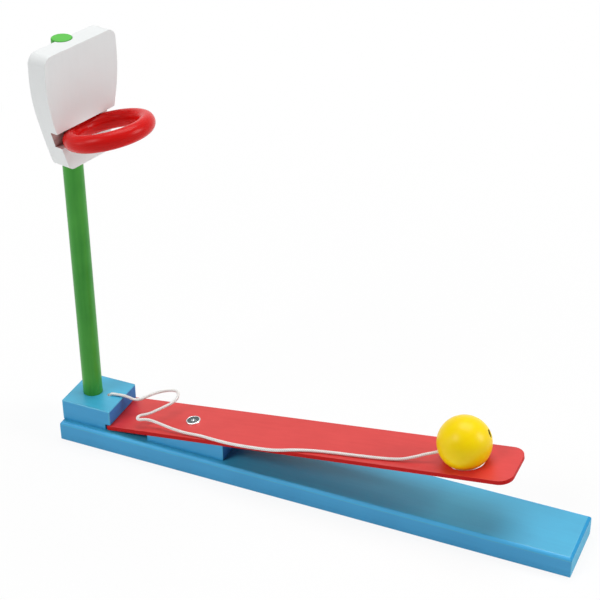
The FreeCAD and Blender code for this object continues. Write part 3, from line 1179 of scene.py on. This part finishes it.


# %% [markdown]
# ## The finishes
# The plank, the block and the wedge are sky blue, and on the real toy that is probably one paint.
# The faces of the toy differ more than these lights make them differ, so each kind of face was
# given its own shade until it looked right from the camera. These shades are painted light and
# shade: painted shade deepens the long sides, deepens the ends of the block and the wedge still
# more, and deepens the rounding over the plank's ends; the plank's ends are a duller copy; and a
# painted highlight brightens the rounding over the plank's sides. In the same way the pole's sawn
# top is a lighter green as a painted highlight, and the strip's edges a deeper red as painted
# shade. The price is paid from behind, where the block's end looks too dark. The pole is a leaf
# green with some grain showing, the board an off-white, and the strip a soft red. The hoop and the
# ball are glossier and show almost no grain. Bare wood is a guess for the slot and the string's
# hole. The dark brown in the ball's hole is painted shade.

# %% Paint the wooden pieces
along_x = (0.06, 1, 1)
along_y = (1, 0.08, 1)
along_z = (1, 1, 0.05)
blue = painted_wood("blue_paint", (0.052, 0.442, 0.69), (0.042, 0.375, 0.615), along_x, 0.34, 0.7)
# Every blue after the first stands in for light and shade on one kind of face, as painted shade or a
# painted highlight.
matt_blue = painted_wood("blue_matt", (0.085, 0.46, 0.69), (0.075, 0.40, 0.62), along_x, 0.5, 0.15)
end_round_shade_blue = painted_wood("blue_shade_on_end_rounds", (0.032, 0.35, 0.66), (0.026, 0.30, 0.60), along_x, 0.5, 0.12)
long_side_shade_blue = painted_wood("blue_long_side_shade", (0.048, 0.385, 0.71), (0.04, 0.335, 0.64), along_x, 0.38, 0.42)
end_face_shade_blue = painted_wood("blue_shade_on_ends", (0.04, 0.22, 0.58), (0.032, 0.18, 0.51), along_x, 0.5, 0.18)
edge_highlight_blue = painted_wood("blue_highlight_on_edges", (0.068, 0.475, 0.85), (0.06, 0.425, 0.78), along_x, 0.42, 0.3)
green = painted_wood("green_paint", (0.058, 0.36, 0.036), (0.022, 0.25, 0.017), along_z, 0.36, 0.3)
green_top_highlight = painted_wood("green_top_highlight", (0.10, 0.55, 0.055), (0.075, 0.47, 0.04), along_x, 0.4, 0.25)
white = painted_wood("white_paint", (0.84, 0.86, 0.86), (0.81, 0.83, 0.83), along_z, 0.5, 0.25)
bare_wood = painted_wood("bare_wood", (0.66, 0.55, 0.53), (0.44, 0.34, 0.33), along_y, 0.8, 0.1)
# The ball's hole is painted dark brown as painted shade.
ball_hole_shade = painted_wood("ball_hole_shade", (0.16, 0.12, 0.02), (0.10, 0.07, 0.012), along_y, 0.8, 0.1)
red = painted_wood("red_paint", (0.70, 0.036, 0.032), (0.63, 0.022, 0.019), along_x, 0.38, 0.6)
edge_shade_red = painted_wood("red_shade_on_edges", (0.60, 0.009, 0.009), (0.52, 0.006, 0.006), along_x, 0.5, 0.12)
no_grain = (1, 1, 1)
lacquer_red = painted_wood(
    "red_lacquer", (0.68, 0.006, 0.005), (0.62, 0.005, 0.004), no_grain, 0.27, 0.15, 0.3
)
lacquer_yellow = painted_wood(
    "yellow_lacquer", (0.99, 0.74, 0.001), (0.99, 0.67, 0.001), no_grain, 0.32, 0.2, 0.3
)
coats = {
    plank: (blue, long_side_shade_blue, edge_highlight_blue, matt_blue, end_round_shade_blue),
    block: (blue, long_side_shade_blue, end_face_shade_blue, bare_wood),
    wedge: (blue, long_side_shade_blue, end_face_shade_blue),
    pole: (green, green_top_highlight),
    board: (white, bare_wood),
    strip: (red, edge_shade_red),
    hoop: (lacquer_red,),
    ball: (lacquer_yellow, ball_hole_shade),
}
for piece, finishes in coats.items():
    dress(piece, *finishes)
print("painted", len(coats), "pieces")

# %% [markdown]
# ## Steel and cotton
# Zinc plating is bright but never even: it is a little cloudy, and the press leaves fine pits.
# Both come from noise in the roughness and the bump. The string is three plies twisted together.
# Its map counts once round and once along for each girth, so a slanted wave over the map is the
# twist, and the same wave darkens the grooves between the plies, as painted shade.

# %% Plate the screw
plating_scale = 900
brightest_spots = 0.12
pit_relief = 0.3
pit_depth = 0.02 * mm


def plated_steel(name, colour, dullest_spots):
    """Bright plated metal with soft clouds, between two values of roughness."""
    material, tree, metal = new_material(name)
    metal.inputs["Metallic"].default_value = 1.0
    metal.inputs["Base Color"].default_value = (*colour, 1)
    place = add_node(tree, "ShaderNodeTexCoord", {}).outputs["Object"]
    clouds = add_noise(tree, place, plating_scale, 4)
    dull = add_node(
        tree,
        "ShaderNodeMapRange",
        {"Value": clouds, "To Min": brightest_spots, "To Max": dullest_spots},
    )
    tree.links.new(dull.outputs["Result"], metal.inputs["Roughness"])
    pits = add_node(
        tree,
        "ShaderNodeBump",
        {"Height": clouds, "Strength": pit_relief, "Distance": pit_depth},
    )
    tree.links.new(pits.outputs["Normal"], metal.inputs["Normal"])
    return material


steel = plated_steel("screw_steel", (0.80, 0.81, 0.82), 0.3)
# The dark metal on the dish is a painted reflection.
dish_reflection_steel = plated_steel("screw_dish_dark_reflection", (0.10, 0.13, 0.13), 0.35)
dress(screw, steel, dish_reflection_steel)
print("plated", screw.name)

# %% Spin the cotton
plies = 3
twists_per_girth = 1.6
groove_depth = 0.12 * mm
groove_relief = 0.7
# The grooves' darker colour is painted shade.
groove_shade_colour = (0.80, 0.76, 0.73)
ply_colour = (0.96, 0.945, 0.93)
wave_low = (-1, -1, -1)
wave_high = (0.2, 0.2, 0.2)

cotton, cotton_tree, yarn = new_material("cotton_cord")
yarn.inputs["Roughness"].default_value = 0.75
yarn.inputs["Specular IOR Level"].default_value = 0.2
yarn_map = add_node(cotton_tree, "ShaderNodeUVMap", {}, uv_map="UVMap")
split = add_node(cotton_tree, "ShaderNodeSeparateXYZ", {"Vector": yarn_map.outputs["UV"]})
ply_turns = 2 * math.pi * plies
round_turns = add_node(
    cotton_tree, "ShaderNodeMath", {0: split.outputs["X"], 1: ply_turns}, operation="MULTIPLY"
)
all_turns = add_node(
    cotton_tree,
    "ShaderNodeMath",
    {0: split.outputs["Y"], 1: ply_turns * twists_per_girth, 2: round_turns.outputs["Value"]},
    operation="MULTIPLY_ADD",
)
wave = add_node(
    cotton_tree, "ShaderNodeMath", {0: all_turns.outputs["Value"]}, operation="SINE"
).outputs["Value"]
wave_tint = add_node(
    cotton_tree,
    "ShaderNodeMapRange",
    {6: wave, 7: wave_low, 8: wave_high, 9: groove_shade_colour, 10: ply_colour},
    data_type="FLOAT_VECTOR",
)
wave_bump = add_node(
    cotton_tree,
    "ShaderNodeBump",
    {"Height": wave, "Strength": groove_relief, "Distance": groove_depth},
)
cotton_tree.links.new(wave_tint.outputs["Vector"], yarn.inputs["Base Color"])
cotton_tree.links.new(wave_bump.outputs["Normal"], yarn.inputs["Normal"])
for piece in (lower_string, upper_string, knot):
    dress(piece, cotton)
print("spun", plies, "plies with", twists_per_girth, "twists for each girth")

# %% [markdown]
# ## The table and the light
# The picture was taken on white paper in soft studio light: a big box of light overhead, others
# at the sides, and white all round. The paper is a wide pale floor. To the camera it shows
# almost pure white but keeps a faint shadow. A mask tells the rays that the picture shows from
# the light that only bounces, so that the paper and the white walls can look bright without
# lighting the toy too much.

# %% Tell the rays apart


def shown_rays(tree):
    """1 for rays of the camera, of a gloss or through glass, and 0 for all other light."""
    rays = add_node(tree, "ShaderNodeLightPath", {}).outputs
    seen = add_node(
        tree,
        "ShaderNodeMath",
        {0: rays["Is Camera Ray"], 1: rays["Is Glossy Ray"]},
        operation="MAXIMUM",
    )
    shown = add_node(
        tree,
        "ShaderNodeMath",
        {0: seen.outputs["Value"], 1: rays["Is Transmission Ray"]},
        operation="MAXIMUM",
    )
    return shown.outputs["Value"]


# %% Lay the floor
floor_size = 8
fade_start = 0.15
fade_end = 0.6
fade_low = 0.88

bpy.ops.object.select_all(action="DESELECT")
bpy.ops.mesh.primitive_plane_add(size=floor_size, location=(0, 0, 0))
floor = settle("paper_floor")
paper, paper_tree, matt_paper = new_material("paper")
matt_paper.inputs["Base Color"].default_value = (0.92, 0.92, 0.92, 1)
matt_paper.inputs["Roughness"].default_value = 0.9
glow = add_node(paper_tree, "ShaderNodeEmission", {"Strength": 1.0})
floor_place = add_node(paper_tree, "ShaderNodeTexCoord", {}).outputs["Object"]
floor_reach = add_node(
    paper_tree, "ShaderNodeVectorMath", {0: floor_place}, operation="LENGTH"
)
floor_fade = add_node(
    paper_tree,
    "ShaderNodeMapRange",
    {
        "Value": floor_reach.outputs["Value"],
        "From Min": fade_start,
        "From Max": fade_end,
        "To Min": fade_low,
        "To Max": 1.0,
    },
    interpolation_type="SMOOTHSTEP",
)
glow_share = add_node(
    paper_tree,
    "ShaderNodeMath",
    {0: shown_rays(paper_tree), 1: floor_fade.outputs["Result"]},
    operation="MULTIPLY",
)
mix = add_node(
    paper_tree,
    "ShaderNodeMixShader",
    {
        "Fac": glow_share.outputs["Value"],
        1: matt_paper.outputs["BSDF"],
        2: glow.outputs["Emission"],
    },
)
paper_end = paper_tree.nodes["Material Output"]
paper_tree.links.new(mix.outputs["Shader"], paper_end.inputs["Surface"])
dress(floor, paper)
print("floor", floor_size, "m wide")

# %% Light the surroundings
dimmed_world = 0.03
world = bpy.data.worlds.new("studio")
bpy.context.scene.world = world
world.use_nodes = True
surround = world.node_tree.nodes["Background"]
surround.inputs["Color"].default_value = (1, 1, 1, 1)
level = add_node(
    world.node_tree,
    "ShaderNodeMapRange",
    {"Value": shown_rays(world.node_tree), "To Min": dimmed_world, "To Max": 1.0},
)
world.node_tree.links.new(level.outputs["Result"], surround.inputs["Strength"])
print("world", dimmed_world, "to all that the picture doesn't show")

# %% Hang the lamps
studio_middle = Vector((0, 0, 0.1))


def soft_box(name, place, width, depth, power):
    """A rectangular studio light that looks at the middle of the studio."""
    data = bpy.data.lights.new(name, "AREA")
    data.shape = "RECTANGLE"
    data.size = width
    data.size_y = depth
    data.energy = power
    lamp = add_object(name, data)
    lamp.location = place
    lamp.rotation_euler = (studio_middle - Vector(place)).to_track_quat("-Z", "Y").to_euler()


soft_box("overhead_box", (-0.18, 1.1, 4.0), 3.2, 2.5, 116)
soft_box("left_box", (-1.35, -1.8, 2.1), 1.2, 1.2, 31.5)
soft_box("low_box", (-2.1, -1.5, 0.75), 1.0, 1.0, 6.5)
soft_box("right_box", (2.4, 0.68, 1.35), 1.05, 1.2, 34.5)
print("hung", len(bpy.data.lights), "lamps")

# %% [markdown]
# ## Put it together
# The pieces of the stand, the ball and its knot ride on the bodies that carry them, so they move
# as the toy moves. The strip and the two stretches of string are fixed in place as they lie at
# rest, and the machining model's own pieces are hidden.

# %% Tie the pieces to their bodies
stand_pieces = {
    plank: ("base_board", "blue_paint"),
    block: ("post_block", "blue_paint"),
    wedge: ("wedge_block", "blue_paint"),
    pole: ("pole", "green_paint"),
    board: ("backboard", "white_paint"),
    hoop: ("hoop_ring", "red_lacquer"),
    screw: ("strip_screw", "screw_steel"),
}
for piece, (node, finish) in stand_pieces.items():
    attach(piece, "stand")
    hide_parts(node)
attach(ball, "ball")
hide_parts("ball")
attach(knot, "ball")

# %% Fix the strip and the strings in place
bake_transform(strip)
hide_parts("strip_root", "launch_strip")
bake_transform(lower_string)
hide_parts("string_at_post", "string_on_strip")
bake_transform(upper_string)
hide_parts("string_at_ball")

# %% [markdown]
# ## Settings
# The picture is shown without a film look, so a colour stays as it was mixed.

# %% Finish the settings
bpy.context.scene.view_settings.view_transform = "Standard"
